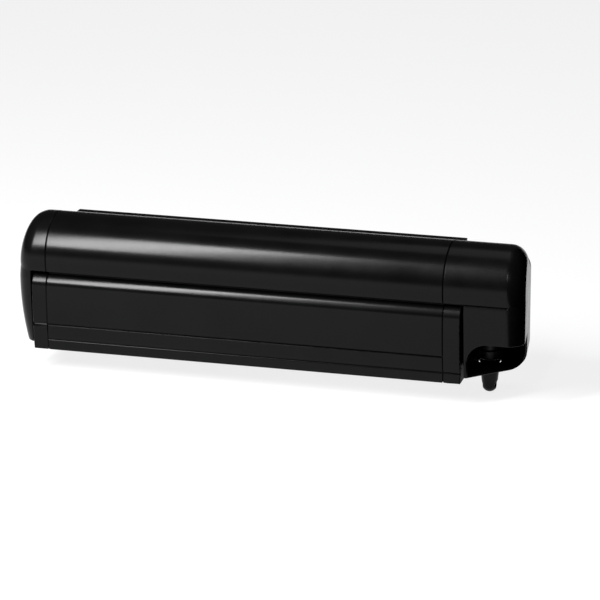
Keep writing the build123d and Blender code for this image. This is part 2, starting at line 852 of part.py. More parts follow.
def elbow_tongue():
    """Tongue on the forearm's end, between the fork's plates."""
    y = wrist_pivot_y
    near = elbow_x - elbow_collar_start - lug_gap
    tongue = plate_of(elbow_outline(y, near), arm_low, arm_high)
    tongue = tongue + tube_spigot(tube_end_x, -knuckle_spigot, y)
    through = (arm_low - overrun, arm_high + overrun)
    return tongue - rod("z", (elbow_x, elbow_y), pin_radius + running_gap, through)


def arm_spring():
    """The tension spring's envelope inside the upper arm, held at the shoulder spigot."""
    start = tube_start_x + knuckle_spigot + spigot_gap
    return rod("x", (shoulder_pivot_y, arm_middle_z), spring_radius, (start, start + spring_length))


# Leg places, for the left leg, which lies in the front lane
leg_x = -end_x + leg_inset
leg_z = foot_z + leg_height
front_lane_y = front_y + leg_lane_start + leg_lane_width / 2
rear_lane_y = front_lane_y + leg_lane_width
tongue_half = leg_size / 2 - leg_fork_wall - running_gap
shank_x = leg_x + leg_foot_radius + lug_gap
leg_tube_x = leg_x + leg_knuckle_length
leg_tube_end_x = leg_tube_x + leg_tube_length
leg_collar_end_x = leg_tube_end_x + leg_collar_length
slider_end_x = leg_collar_end_x + leg_slider_out
foot_x = slider_end_x + leg_foot_radius
lever_x = leg_tube_end_x + leg_collar_length / 2
lever_z = leg_z - leg_size / 2 - lever_drop


def across(y):
    """Right through a leg from side to side."""
    return (y - leg_size, y + leg_size)


def leg_hinge_bracket(y):
    """Fork under the roof of the leg channel."""
    roof = foot_z + leg_roof_height - leg_roof_wall
    low = leg_z - leg_foot_radius
    half = leg_size / 2
    reach = (y - half, y + half)
    fork = block((-end_x + spigot_gap, leg_x + leg_foot_radius), reach, (leg_z, roof))
    fork = fork + block((-end_x + spigot_gap, leg_x), reach, (low, leg_z))
    fork = fork + rod("y", (leg_x, leg_z), leg_foot_radius, reach)
    jaw = half - leg_fork_wall
    slot_x = leg_x - leg_foot_radius - lug_gap / 2
    slot = block((slot_x, end_x), (y - jaw, y + jaw), (low - overrun, roof + overrun))
    return fork - slot - rod("y", (leg_x, leg_z), leg_pin_radius + plug_clearance, across(y))


def leg_pin(y):
    half = leg_size / 2
    return rod("y", (leg_x, leg_z), leg_pin_radius, (y - half, y + half))


def leg_knuckle(y):
    """Knuckle with a round tongue, a shank and a spigot in the leg tube."""
    reach = (y - tongue_half, y + tongue_half)
    tongue = rod("y", (leg_x, leg_z), leg_foot_radius, reach)
    tongue = tongue + block((leg_x, shank_x), reach, (leg_z - leg_foot_radius, leg_z + leg_foot_radius))
    shank = bar_of(Pos(y, leg_z) * RectangleRounded(leg_size, leg_size, leg_corner), shank_x, leg_tube_x)
    plug = leg_size - 2 * (leg_wall + spigot_gap)
    spigot = bar_of(Pos(y, leg_z) * Rectangle(plug, plug), leg_tube_x, leg_tube_x + leg_knuckle_spigot)
    return tongue + shank + spigot - rod("y", (leg_x, leg_z), leg_pin_radius + running_gap, across(y))


def leg_tube(y):
    return tube_box((leg_tube_x, leg_tube_end_x), (y, leg_z), (leg_size, leg_size), leg_wall, leg_corner)


def leg_collar(y):
    """End collar of the leg tube, with two ears for the locking lever."""
    bore = leg_slider_size + 2 * spigot_gap
    face = RectangleRounded(leg_size, leg_size, leg_corner) - Rectangle(bore, bore)
    collar = bar_of(Pos(y, leg_z) * face, leg_tube_end_x, leg_collar_end_x)
    low = leg_z - leg_size / 2
    for side in (-1, 1):
        inner = y + side * (lever_width / 2 + spigot_gap)
        outer = inner + side * lever_ear
        along = (lever_x - lever_cam_radius, lever_x + lever_cam_radius)
        collar = collar + block(along, (inner, outer), (lever_z - lever_cam_radius, low + leg_wall / 2))
    return collar - rod("y", (lever_x, lever_z), lever_pin_radius + running_gap, across(y))


def leg_lever(y):
    """Locking lever, folded back along the leg, on its own trunnions."""
    half = lever_width / 2
    cam = rod("y", (lever_x, lever_z), lever_cam_radius, (y - half, y + half))
    outer = half + spigot_gap + lever_ear
    pin = rod("y", (lever_x, lever_z), lever_pin_radius, (y - outer, y + outer))
    thick = (lever_z - lever_thickness / 2, lever_z + lever_thickness / 2)
    return cam + pin + block((lever_x - lever_length, lever_x), (y - half, y + half), thick)


def leg_slider(y):
    """Inner tube of the leg, closed by a plug with a tongue for the foot."""
    start = slider_end_x - leg_slider_length
    size = (leg_slider_size, leg_slider_size)
    tube = tube_box((start, slider_end_x), (y, leg_z), size, leg_slider_wall, leg_corner)
    plug = leg_slider_size - leg_slider_wall
    tube = tube + bar_of(Pos(y, leg_z) * Rectangle(plug, plug), slider_end_x - leg_foot_ear, slider_end_x)
    half = leg_foot_ear / 2
    tongue = block((slider_end_x, foot_x), (y - half, y + half), (leg_z - leg_foot_ear, leg_z + leg_foot_ear))
    tongue = tongue + rod("y", (foot_x, leg_z), leg_foot_ear, (y - half, y + half))
    return tube + tongue - rod("y", (foot_x, leg_z), lever_pin_radius + running_gap, across(y))


def leg_foot(y):
    """Tilting shoe with its slot and pin."""
    half = leg_slider_size / 2 + spigot_gap
    rise = half + lug_gap
    along = (foot_x - leg_foot_radius / 2, foot_x + leg_foot_sole)
    shoe = block(along, (y - half, y + half), (leg_z - rise, leg_z + rise))
    shoe = shoe & rod("y", (foot_x, leg_z), leg_foot_radius + lug_gap, across(y))
    slot = leg_foot_ear / 2 + 2 * running_gap
    slot_end_x = foot_x + leg_foot_ear + spigot_gap
    gap = block((foot_x - leg_size, slot_end_x), (y - slot, y + slot), (leg_z - leg_size, leg_z + leg_size))
    return shoe - gap + rod("y", (foot_x, leg_z), lever_pin_radius, (y - half, y + half))


def lead_bar_seal():
    """Half-round rubber strip on the lead bar's rounded top."""
    y = bar_front_y + bar_top_radius - seal_width
    centre_z = bar_top_z - bar_top_radius
    z = centre_z + math.sqrt(bar_top_radius ** 2 - seal_width ** 2)
    crown = Pos(bar_front_y + bar_top_radius, centre_z) * Circle(bar_top_radius)
    seal = Pos(y, z) * Ellipse(seal_width / 2, seal_height) - crown
    return bar_of(seal, -end_x, end_x)


def bracket_section():
    """Wall bracket: plate, hook behind the hanging rail, rest rib and foot under the case."""
    rail_front = back_y - rail_setback
    rail_top = deck_z + rail_height
    neck_top = rail_top - rail_lip - hook_clearance
    neck_low = deck_z + hook_clearance
    tongue_front = rail_front + rail_wall + hook_clearance
    foot_top = floor_z - foot_clearance
    low = foot_top - bracket_plate
    plate = Pos(-bracket_plate / 2, (low + neck_top) / 2) * Rectangle(bracket_plate, neck_top - low)
    neck = Pos(tongue_front / 2, (neck_top + neck_low) / 2) * Rectangle(-tongue_front, neck_top - neck_low)
    tongue_top = rail_top - rail_wall - hook_clearance
    tongue = Pos(tongue_front + hook_tongue / 2, (neck_low + tongue_top) / 2) * Rectangle(
        hook_tongue, tongue_top - neck_low
    )
    foot_front = back_y - bracket_foot
    foot = Pos(foot_front / 2, foot_top - bracket_plate / 2) * Rectangle(-foot_front, bracket_plate)
    rib_reach = back_y + foot_clearance
    rib = Pos(rib_reach / 2, 0) * Rectangle(-rib_reach, bracket_plate)
    return plate + neck + tongue + foot + rib


def wall_brackets():
    brackets = []
    for side in (-1, 1):
        x = side * bracket_spacing / 2
        bracket = bar_of(bracket_section(), x - bracket_width / 2, x + bracket_width / 2)
        for up in (-1, 1):
            z = up * bracket_screw_spacing / 2
            bracket = bracket - rod("y", (x, z), bracket_screw_radius, (-bracket_plate - overrun, overrun))
        bracket = bracket - foot_screw_hole(x)
        brackets.append(bracket)
    return Compound(brackets)


def foot_screw_hole(x):
    y = back_y - bracket_foot / 2
    through = (floor_z - 2 * bracket_plate, floor_z + 2 * case_wall)
    return rod("z", (x, y), foot_screw_radius + plug_clearance, through)


def bracket_screws():
    """Screws up through the bracket feet into the case's floor."""
    screws = []
    y = back_y - bracket_foot / 2
    for side in (-1, 1):
        x = side * bracket_spacing / 2
        seat = floor_z - foot_clearance - bracket_plate
        shank = rod("z", (x, y), foot_screw_radius, (seat, floor_z + case_wall))
        screws.append(shank + rod("z", (x, y), foot_screw_head_radius, (seat - foot_screw_head, seat)))
    return Compound(screws)


def main():
    os.makedirs("parts", exist_ok=True)
    shell = case_shell()
    for side in (-1, 1):
        shell = shell - foot_screw_hole(side * bracket_spacing / 2)
    keep("case_shell", shell)
    keep("left_end_cap", end_cap(left_cap_length, beyond_bow, left_bar_cap + left_pocket_gap, False))
    winch_cap = end_cap(right_cap_length, beyond_lean, right_bar_cap + right_pocket_gap, True)
    right_cap = winch_cap - crank_recess()
    keep("right_end_cap", mirror(right_cap, Plane.YZ))
    keep("left_end_plate", end_plate(journal_radius + bush_wall))
    keep("end_plate_screws", plate_screws())
    keep("winch_housing", winch_housing())
    keep("worm_bushes", worm_bushes())
    keep("roller_bushes", Compound([sided("left", roller_bush()), sided("right", roller_bush())]))
    keep("wall_brackets", wall_brackets())
    keep("bracket_screws", bracket_screws())
    keep_pair("shoulder_bracket", shoulder_bracket())
    shoulder_pin = arm_pin((arm_x, shoulder_pivot_y))
    keep("shoulder_pins", Compound([sided(side, shoulder_pin) for side in ("left", "right")]))

    keep("roller_tube", roller_tube())
    keep("left_roller_plug", roller_plug(end_x + plate_thickness + bush_flange_wall))
    keep("right_roller_plug", mirror(roller_plug(bridge_x + winch_web), Plane.YZ))
    keep("canopy_roll", canopy_roll())
    keep("worm_wheel", worm_wheel())
    keep("worm_shaft", worm_shaft())
    keep("crank_eye", crank_eye())
    keep("canopy_fabric", canopy_fabric())

    keep("lead_bar", bar_of(lead_bar_section(), -end_x, end_x))
    keep("left_lead_bar_cap", Pos(-end_x, 0, 0) * bar_cap(left_bar_cap, upper_groove_height))
    keep("right_lead_bar_cap", sided("right", Pos(-end_x, 0, 0) * bar_cap(right_bar_cap, lower_groove_height)))
    keep("lead_bar_seal", lead_bar_seal())
    keep("canopy_bead", canopy_bead())
    keep_pair("wrist_bracket", wrist_bracket())
    wrist_pin = arm_pin((arm_x, wrist_pivot_y))
    keep("wrist_pins", Compound([sided(side, wrist_pin) for side in ("left", "right")]))

    keep_pair("shoulder_knuckle", arm_knuckle(shoulder_pivot_y))
    keep_pair("upper_arm", arm_tube(shoulder_pivot_y))
    keep_pair("arm_spring", arm_spring())
    keep_pair("elbow_fork", elbow_fork())
    keep_pair("elbow_pin", arm_pin((elbow_x, elbow_y)))
    keep_pair("elbow_tongue", elbow_tongue())
    keep_pair("forearm", arm_tube(wrist_pivot_y))
    keep_pair("wrist_knuckle", arm_knuckle(wrist_pivot_y))

    pins = []
    for side, lane in (("left", front_lane_y), ("right", rear_lane_y)):
        keep(side + "_leg_hinge", sided(side, leg_hinge_bracket(lane)))
        pins.append(sided(side, leg_pin(lane)))
        keep(side + "_leg_knuckle", sided(side, leg_knuckle(lane)))
        keep(side + "_leg_tube", sided(side, leg_tube(lane)))
        keep(side + "_leg_collar", sided(side, leg_collar(lane)))
        keep(side + "_leg_lever", sided(side, leg_lever(lane)))
        keep(side + "_leg_slider", sided(side, leg_slider(lane)))
        keep(side + "_leg_foot", sided(side, leg_foot(lane)))
    keep("leg_pins", Compound(pins))


main()
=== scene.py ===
import json
import math
import bpy
import bmesh
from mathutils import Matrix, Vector
from mathutils.bvhtree import BVHTree


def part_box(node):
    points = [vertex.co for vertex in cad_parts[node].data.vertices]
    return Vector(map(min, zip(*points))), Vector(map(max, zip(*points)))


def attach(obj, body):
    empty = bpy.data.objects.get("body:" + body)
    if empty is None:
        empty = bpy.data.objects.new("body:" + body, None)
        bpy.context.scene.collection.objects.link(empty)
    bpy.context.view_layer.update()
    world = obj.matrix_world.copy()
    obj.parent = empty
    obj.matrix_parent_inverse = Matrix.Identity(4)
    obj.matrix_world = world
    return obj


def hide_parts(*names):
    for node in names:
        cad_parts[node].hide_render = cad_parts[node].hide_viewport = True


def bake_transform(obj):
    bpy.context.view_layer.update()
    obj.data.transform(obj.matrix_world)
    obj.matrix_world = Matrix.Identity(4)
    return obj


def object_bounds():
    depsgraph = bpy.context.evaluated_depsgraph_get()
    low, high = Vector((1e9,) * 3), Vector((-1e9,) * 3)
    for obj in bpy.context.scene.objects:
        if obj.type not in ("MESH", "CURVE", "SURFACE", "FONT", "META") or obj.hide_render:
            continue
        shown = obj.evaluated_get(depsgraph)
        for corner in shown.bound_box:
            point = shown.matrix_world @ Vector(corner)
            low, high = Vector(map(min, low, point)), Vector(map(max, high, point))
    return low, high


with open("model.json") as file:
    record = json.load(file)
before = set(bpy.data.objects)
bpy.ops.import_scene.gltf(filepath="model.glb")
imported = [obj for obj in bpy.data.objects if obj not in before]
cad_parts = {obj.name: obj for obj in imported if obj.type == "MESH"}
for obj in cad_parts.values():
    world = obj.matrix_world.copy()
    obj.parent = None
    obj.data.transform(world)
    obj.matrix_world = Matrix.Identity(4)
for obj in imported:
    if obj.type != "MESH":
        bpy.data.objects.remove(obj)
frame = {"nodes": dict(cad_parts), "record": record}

cad_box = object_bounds()
nodes = frame["nodes"]

# Angles in degrees
sharp_edge = 32
flat_limit = 0.5
smooth_angle = 38
cloth_smooth_angle = 60
cloth_slope = -38

# Places and sizes of the roll, the canopy and the springs, in metres
roll_y, roll_z = -0.0665, 0.0285
bead_y, bead_z = -0.092, 0.0088
tube_radius = 0.01905
wound_radius = 0.0247
cloth_reach = 0.177
cloth_thickness = 0.00045
bead_radius = 0.0026
spring_wire = 0.0011

# Long grooves in the face of the lead bar and its caps, by height, in metres
groove_width = 0.0016
groove_floor = 0.001
groove_depth = 0.0013
upper_groove, lower_groove = -0.0345, -0.05
grooves = {
    "lead_bar": (upper_groove, lower_groove),
    "left_lead_bar_cap": (upper_groove,),
    "right_lead_bar_cap": (lower_groove,),
}

# Half widths of floor and flag, the flag being a painted dark reflection, and how far each lies from the
# part, in metres
floor_half, floor_gap = 30.0, 0.0003
flag_half, flag_gap = 0.5, 0.025

# Gaps that mesh steps treat as none, and how far painted shade reaches out of a groove or corner, in
# metres
merge_gap = 0.000004
sliver = 0.00001
cut_gap = 0.000001
level_slack = 0.00002
shade_reach = 0.004

# Counts, shares and levels
spring_sides, spring_steps = 8, 18
spring_pitch_share = 2.3
cloth_layers, layer_steps = 10, 64
sheet_steps = (24, 72)
skin_share = 0.7
tone_low, tone_high = 0.32, 0.7
# Painted shade in grooves: how sharply the gloss falls away as the walls close in
shade_power = 3.0
floor_glow = 0.82
world_level = 0.035


def linear(code):
    """An sRGB hex colour as linear red, green, blue and alpha."""
    parts = [int(code[i:i + 2], 16) / 255 for i in (1, 3, 5)]
    return (*[p / 12.92 if p <= 0.04045 else ((p + 0.055) / 1.055) ** 2.4 for p in parts], 1.0)


def add(tree, kind, inputs=None, **settings):
    """One node with its settings; an input takes a value or another node's output."""
    node = tree.nodes.new(kind)
    for name, value in settings.items():
        setattr(node, name, value)
    for name, value in (inputs or {}).items():
        if isinstance(value, bpy.types.NodeSocket):
            tree.links.new(value, node.inputs[name])
        else:
            node.inputs[name].default_value = value
    return node


def maths(tree, operation, *values):
    """The outcome of one sum on numbers or other nodes' outputs."""
    return add(tree, "ShaderNodeMath", dict(enumerate(values)), operation=operation).outputs["Value"]


def noise(tree, place, scale, detail, roughness=0.5):
    """A cloudy pattern from 0 to 1."""
    inputs = {"Vector": place, "Scale": scale, "Detail": detail, "Roughness": roughness}
    return add(tree, "ShaderNodeTexNoise", inputs).outputs["Fac"]


def stretched(tree, place, scale):
    """The coordinates scaled along each axis, for patterns that run along one of them."""
    return add(tree, "ShaderNodeMapping", {"Vector": place, "Scale": scale}).outputs["Vector"]


def finish_of(name, inputs):
    """A new material: its tree, its shader and the object's own coordinates."""
    material = bpy.data.materials.new(name)
    material.use_nodes = True
    tree = material.node_tree
    tree.nodes.clear()
    shader = add(tree, "ShaderNodeBsdfPrincipled", inputs)
    add(tree, "ShaderNodeOutputMaterial", {"Surface": shader.outputs["BSDF"]})
    place = add(tree, "ShaderNodeTexCoord").outputs["Object"]
    return material, tree, shader, place


def toned(tree, shader, fac, colours, roughness):
    """Base colour and roughness that drift between two ends with one pattern."""
    ramp = add(tree, "ShaderNodeValToRGB", {"Fac": fac})
    for stop, place, colour in zip(ramp.color_ramp.elements, (tone_low, tone_high), colours):
        stop.position = place
        stop.color = linear(colour)
    drift = add(tree, "ShaderNodeMapRange", {
        "Value": fac, "From Min": tone_low, "From Max": tone_high,
        "To Min": roughness[0], "To Max": roughness[1],
    })
    tree.links.new(ramp.outputs["Color"], shader.inputs["Base Color"])
    tree.links.new(drift.outputs["Result"], shader.inputs["Roughness"])


def raised(tree, shader, layers):
    """Relief from several patterns, one over the other: (height, depth in mm, strength)."""
    normal = None
    for height, depth, strength in layers:
        inputs = {"Height": height, "Distance": depth / 1000, "Strength": strength}
        if normal:
            inputs["Normal"] = normal
        normal = add(tree, "ShaderNodeBump", inputs).outputs["Normal"]
    tree.links.new(normal, shader.inputs["Normal"])


def painted_recess_shade(tree, shader, specular):
    """Painted shade: takes the gloss out of grooves and seams, the more the closer their walls stand."""
    inputs = {"Distance": shade_reach}
    reach = add(tree, "ShaderNodeAmbientOcclusion", inputs, samples=8, only_local=True)
    unshaded = maths(tree, "POWER", reach.outputs["AO"], shade_power)
    tree.links.new(maths(tree, "MULTIPLY", unshaded, specular), shader.inputs["Specular IOR Level"])


def powder_coat(name, colours, roughness, specular):
    """Powder coat on drawn aluminium: satin, with orange peel over faint die lines along the length."""
    material, tree, shader, place = finish_of(name, {})
    # Painted shade: less gloss in grooves and seams
    painted_recess_shade(tree, shader, specular)
    toned(tree, shader, noise(tree, place, 22.0, 5.0, 0.62), colours, roughness)
    # Orange peel is about 0.8 mm across; drawn at 1.6 mm so that it shows
    peel = noise(tree, place, 620.0, 1.0)
    lines = noise(tree, stretched(tree, place, (3.0, 700.0, 700.0)), 1.0, 2.0)
    raised(tree, shader, [(lines, 0.01, 0.25), (peel, 0.03, 0.35)])
    return material


def moulded(name, colours, roughness, specular, grain):
    """Injection-moulded plastic: a spark-eroded grain and a slightly uneven sheen."""
    material, tree, shader, place = finish_of(name, {})
    # Painted shade: less gloss in grooves and seams
    painted_recess_shade(tree, shader, specular)
    toned(tree, shader, noise(tree, place, 30.0, 4.0, 0.6), colours, roughness)
    pits = add(tree, "ShaderNodeTexVoronoi", {"Vector": place, "Scale": 1000 / grain}, feature="SMOOTH_F1")
    flow = noise(tree, place, 55.0, 2.0)
    raised(tree, shader, [(flow, 0.12, 0.12), (pits.outputs["Distance"], 0.05, 0.3)])
    return material


def metal(name, colours, roughness, stretch, depth):
    """Bare metal with its tool marks, which run along the axis that is stretched least."""
    material, tree, shader, place = finish_of(name, {"Metallic": 1.0})
    grain = noise(tree, stretched(tree, place, stretch), 1.0, 3.0)
    toned(tree, shader, grain, colours, roughness)
    raised(tree, shader, [(grain, depth, 0.3)])
    return material


def cast_coat(name, colours, roughness):
    """Die-cast aluminium under thin paint: a pebbled skin with a few shallow sinks."""
    material, tree, shader, place = finish_of(name, {"Specular IOR Level": 0.4})
    cloud = noise(tree, place, 90.0, 5.0, 0.65)
    toned(tree, shader, cloud, colours, roughness)
    pebbles = noise(tree, place, 480.0, 2.0)
    raised(tree, shader, [(cloud, 0.15, 0.2), (pebbles, 0.06, 0.4)])
    return material


def awning_cloth():
    """Coated polyester canopy cloth: a plain weave, warp along the case, under a thin matt coating."""
    material, tree, shader, place = finish_of("woven_polyester_canopy", {
        "Specular IOR Level": 0.25, "Sheen Weight": 0.25, "Sheen Roughness": 0.5,
    })
    # Threads are 0.5 mm apart; drawn at 1 mm so that they show
    turned = {"Vector": place, "Rotation": (math.radians(cloth_slope), 0.0, 0.0)}
    flat = add(tree, "ShaderNodeMapping", turned).outputs["Vector"]
    threads = []
    for direction, coordinates in (("X", place), ("Y", flat)):
        inputs = {"Vector": coordinates, "Scale": 320.0, "Distortion": 0.4}
        threads.append(add(tree, "ShaderNodeTexWave", inputs, bands_direction=direction).outputs["Fac"])
    weave = maths(tree, "MULTIPLY", *threads)
    patches = maths(tree, "MULTIPLY", noise(tree, place, 14.0, 5.0), weave)
    toned(tree, shader, patches, ("#77797d", "#8b8e92"), (0.72, 0.86))
    raised(tree, shader, [(weave, 0.12, 0.5)])
    return material


def seal_rubber():
    """Extruded EPDM rubber: matt, with fine draw lines along its length."""
    material, tree, shader, place = finish_of("extruded_rubber_seal", {"Specular IOR Level": 0.2})
    lines = noise(tree, stretched(tree, place, (5.0, 1400.0, 1400.0)), 1.0, 3.0)
    toned(tree, shader, lines, ("#080808", "#101011"), (0.68, 0.82))
    raised(tree, shader, [(lines, 0.03, 0.4)])
    return material


def studio_floor():
    """Seamless pale paper. It looks white to the camera and in gloss, and still takes the shadow."""
    material = bpy.data.materials.new("seamless_studio_paper")
    material.use_nodes = True
    tree = material.node_tree
    tree.nodes.clear()
    place = add(tree, "ShaderNodeTexCoord").outputs["Object"]
    paper = add(tree, "ShaderNodeBsdfDiffuse", {"Color": linear("#8a8a8b")})
    raised(tree, paper, [(noise(tree, place, 400.0, 2.0), 0.05, 0.1)])
    path = add(tree, "ShaderNodeLightPath").outputs
    seen = maths(tree, "MAXIMUM", path["Is Camera Ray"], path["Is Glossy Ray"])
    seen = maths(tree, "MAXIMUM", seen, path["Is Transmission Ray"])
    glow = add(tree, "ShaderNodeEmission", {
        "Color": linear("#ffffff"), "Strength": maths(tree, "MULTIPLY", seen, floor_glow),
    })
    total = add(tree, "ShaderNodeAddShader", {0: paper.outputs["BSDF"], 1: glow.outputs["Emission"]})
    add(tree, "ShaderNodeOutputMaterial", {"Surface": total.outputs["Shader"]})
    return material


# How finely tool marks lie across x, y and z, in marks per metre
along_x, along_z = (4.0, 900.0, 900.0), (300.0, 300.0, 900.0)
round_z, across_x = (500.0, 500.0, 60.0), (900.0, 200.0, 200.0)

finishes = {
    "case_paint": powder_coat("satin_black_powder_coat", ("#070707", "#0b0b0c"), (0.19, 0.23), 0.14),
    "arm_paint": powder_coat("grey_powder_coat", ("#2c2d2f", "#36373a"), (0.36, 0.46), 0.4),
    "bracket_paint": powder_coat("matt_black_powder_coat", ("#121213", "#1b1b1c"), (0.42, 0.52), 0.35),
    "cap_plastic": moulded("moulded_abs_black", ("#070708", "#0b0b0b"), (0.21, 0.26), 0.14, 1.1),
    "leg_plastic": moulded("moulded_nylon_black", ("#141415", "#1d1d1f"), (0.45, 0.56), 0.4, 0.9),
    "bush_plastic": moulded("moulded_acetal_white", ("#cfcfca", "#dededa"), (0.32, 0.42), 0.5, 0.8),
    "casting": cast_coat("painted_die_casting", ("#17181a", "#222326"), (0.4, 0.52)),
    "tube_aluminium": metal("anodised_aluminium", ("#a9abae", "#bfc1c4"), (0.28, 0.4), along_x, 0.01),
    "steel_pin": metal("zinc_plated_steel", ("#9ea1a5", "#b7babd"), (0.24, 0.36), along_z, 0.008),
    "worm_steel": metal("case_hardened_steel", ("#6f7276", "#8a8d91"), (0.22, 0.34), round_z, 0.01),
    "wheel_bronze": metal("gear_bronze", ("#93733a", "#b08d4d"), (0.26, 0.4), across_x, 0.012),
    "canopy_cloth": awning_cloth(),
    "seal_rubber": seal_rubber(),
}
body_of = {node: body for body, names in frame["record"]["behaviour"]["bodies"].items() for node in names}
slot_of = {}
for name, node in nodes.items():
    slot_of[name] = node.material_slots[0].material.name.split(".")[0]


def placed(name, mesh, body, slot, *replaced):
    """A finished piece in its finish, riding on its body unless that is None."""
    piece = bpy.data.objects.new(name, mesh)
    bpy.context.scene.collection.objects.link(piece)
    mesh.materials.clear()
    mesh.materials.append(finishes[slot])
    if body:
        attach(piece, body)
    if replaced:
        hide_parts(*replaced)
    return piece


def smooth(mesh, angle):
    """Smooth faces with sharp edges over an angle in degrees."""
    mesh.polygons.foreach_set("use_smooth", [True] * len(mesh.polygons))
    mesh.set_sharp_from_angle(angle=math.radians(angle))


# How far each group of rigid pieces has its edges eased, in metres
eased = {
    0.0006: ["left_end_cap", "right_end_cap", "crank_eye", "winch_housing"],
    0.0005: ["left_lead_bar_cap", "right_lead_bar_cap", "wall_brackets", "left_end_plate"],
    0.0003: [
        "case_shell", "lead_bar", "bracket_screws", "end_plate_screws", "worm_bushes", "roller_bushes",
    ],
    0.00025: [
        "roller_tube", "left_roller_plug", "right_roller_plug", "shoulder_pins", "wrist_pins", "leg_pins",
    ],
    0.00015: ["worm_wheel", "worm_shaft", "lead_bar_seal", "canopy_bead"],
}
for side in ("left", "right"):
    eased[0.0005] += [side + part for part in (
        "_shoulder_bracket", "_shoulder_knuckle", "_upper_arm", "_elbow_fork", "_elbow_tongue", "_forearm",
        "_wrist_knuckle", "_wrist_bracket",
        "_leg_hinge", "_leg_knuckle", "_leg_collar", "_leg_lever", "_leg_foot",
    )]
    eased[0.00025] += [side + part for part in ("_elbow_pin", "_leg_tube", "_leg_slider")]


def whole_faces(name):
    """A CAD node's shape with its loose triangles merged and its flats joined up."""
    shape = bmesh.new()
    shape.from_mesh(nodes[name].data)
    bmesh.ops.remove_doubles(shape, verts=shape.verts, dist=merge_gap)
    bmesh.ops.dissolve_degenerate(shape, edges=shape.edges, dist=sliver)
    limit = math.radians(flat_limit)
    bmesh.ops.dissolve_limit(shape, verts=shape.verts, edges=shape.edges, angle_limit=limit)
    return shape


def ease(shape, width):
    """Rounds every sharp edge, and keeps each new corner on the piece's own skin."""
    skin = BVHTree.FromBMesh(shape)
    limit = math.radians(sharp_edge)
    sharp = [edge for edge in shape.edges if edge.is_manifold and edge.calc_face_angle() > limit]
    bmesh.ops.bevel(
        shape, geom=sharp, offset=width, offset_type="OFFSET", affect="EDGES", segments=2, profile=0.5,
        clamp_overlap=False, material=-1, harden_normals=False,
    )
    for vert in shape.verts:
        spot, _, _, gap = skin.find_nearest(vert.co)
        if gap > skin_share * width:
            vert.co = spot


def groove(shape, middle):
    """A long groove across a front face at one height: lips, two walls and a narrower floor."""
    for level in (-groove_width / 2, -groove_floor / 2, groove_floor / 2, groove_width / 2):
        whole = shape.verts[:] + shape.edges[:] + shape.faces[:]
        bmesh.ops.bisect_plane(
            shape, geom=whole, dist=cut_gap, plane_co=(0.0, 0.0, middle + level), plane_no=(0.0, 0.0, 1.0),
        )
    reach = groove_floor / 2 + level_slack
    floor = [vert for vert in shape.verts if abs(vert.co.z - middle) < reach]
    front = min(vert.co.y for vert in floor)
    for vert in floor:
        if vert.co.y < front + groove_width / 2:
            vert.co.y += groove_depth


def finished_mesh(name, shape, angle=smooth_angle):
    """A mesh from a shape, smooth, with its flats kept flat."""
    mesh = bpy.data.meshes.new(name)
    bmesh.ops.triangulate(shape, faces=[face for face in shape.faces if len(face.verts) > 4])
    shape.to_mesh(mesh)
    shape.free()
    smooth(mesh, angle)
    return mesh


def ease_rigid_pieces():
    """Every rigid CAD piece again with eased edges, in its finish."""
    for width, names in eased.items():
        for name in names:
            shape = whole_faces(name)
            for middle in grooves.get(name, ()):
                groove(shape, middle)
            ease(shape, width)
            piece = placed(name + "_eased", finished_mesh(name, shape), body_of[name], slot_of[name], name)
            weigh = piece.modifiers.new("flats", "WEIGHTED_NORMAL")
            weigh.keep_sharp = True


def arm_spring(side):
    """The tension spring in an upper arm: a close coil of round wire."""
    name = side + "_arm_spring"
    low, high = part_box(name)
    reach = (high.x - low.x) / 2 - spring_wire
    radius = (high.z - low.z) / 2 - spring_wire
    turns = int(2 * reach / (spring_pitch_share * spring_wire))
    steps = turns * spring_steps
    shape = bmesh.new()
    bmesh.ops.create_circle(shape, cap_ends=False, segments=spring_sides, radius=spring_wire)
    bmesh.ops.translate(shape, verts=shape.verts, vec=(-reach, radius, 0.0))
    bmesh.ops.spin(
        shape, geom=shape.verts[:] + shape.edges[:], cent=(0.0, 0.0, 0.0), axis=(1.0, 0.0, 0.0),
        dvec=(2 * reach / steps, 0.0, 0.0), angle=math.tau * turns, steps=steps, use_merge=False,
    )
    bmesh.ops.holes_fill(shape, edges=shape.edges, sides=spring_sides)
    bmesh.ops.recalc_face_normals(shape, faces=shape.faces)
    bmesh.ops.translate(shape, verts=shape.verts, vec=(Vector(low) + Vector(high)) / 2)
    placed(name + "_coil", finished_mesh(name, shape), side + "_upper_arm", slot_of[name], name)


def off_roll(radius, turn):
    """A point beside the roll's axis, at a radius and an angle from +y towards +z."""
    return Vector((0.0, roll_y + radius * math.cos(turn), roll_z + radius * math.sin(turn)))


def leave_angle():
    """Where on the roll the free canopy leaves it for the bead channel."""
    run = math.hypot(bead_y - roll_y, bead_z - roll_z)
    return math.atan2(bead_z - roll_z, bead_y - roll_y) + math.acos(wound_radius / run)


def cloth_piece(name, shape, body, *replaced):
    """A cloth surface with its thickness, in the canopy's finish."""
    bmesh.ops.recalc_face_normals(shape, faces=shape.faces)
    surface = shape.verts[:] + shape.edges[:] + shape.faces[:]
    bmesh.ops.solidify(shape, geom=surface, thickness=cloth_thickness)
    return placed(name, finished_mesh(name, shape, cloth_smooth_angle), body, "canopy_cloth", *replaced)


def canopy_sheet():
    """The free stretch of canopy, from the roll to the bead channel; the canopy spreads out as the lead
    bar travels, but this sheet stays where it is drawn.
    """
    leave = off_roll(wound_radius, leave_angle())
    bead = Vector((0.0, bead_y, bead_z))
    end = bead + (leave - bead).normalized() * bead_radius
    shape = bmesh.new()
    bmesh.ops.create_grid(shape, x_segments=sheet_steps[0], y_segments=sheet_steps[1], size=1.0)
    for vert in shape.verts:
        across, along = vert.co.x, (vert.co.y + 1) / 2
        vert.co = leave.lerp(end, along) + Vector((across * cloth_reach, 0.0, 0.0))
    piece = cloth_piece("canopy_sheet", shape, None, "canopy_fabric")
    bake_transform(piece)


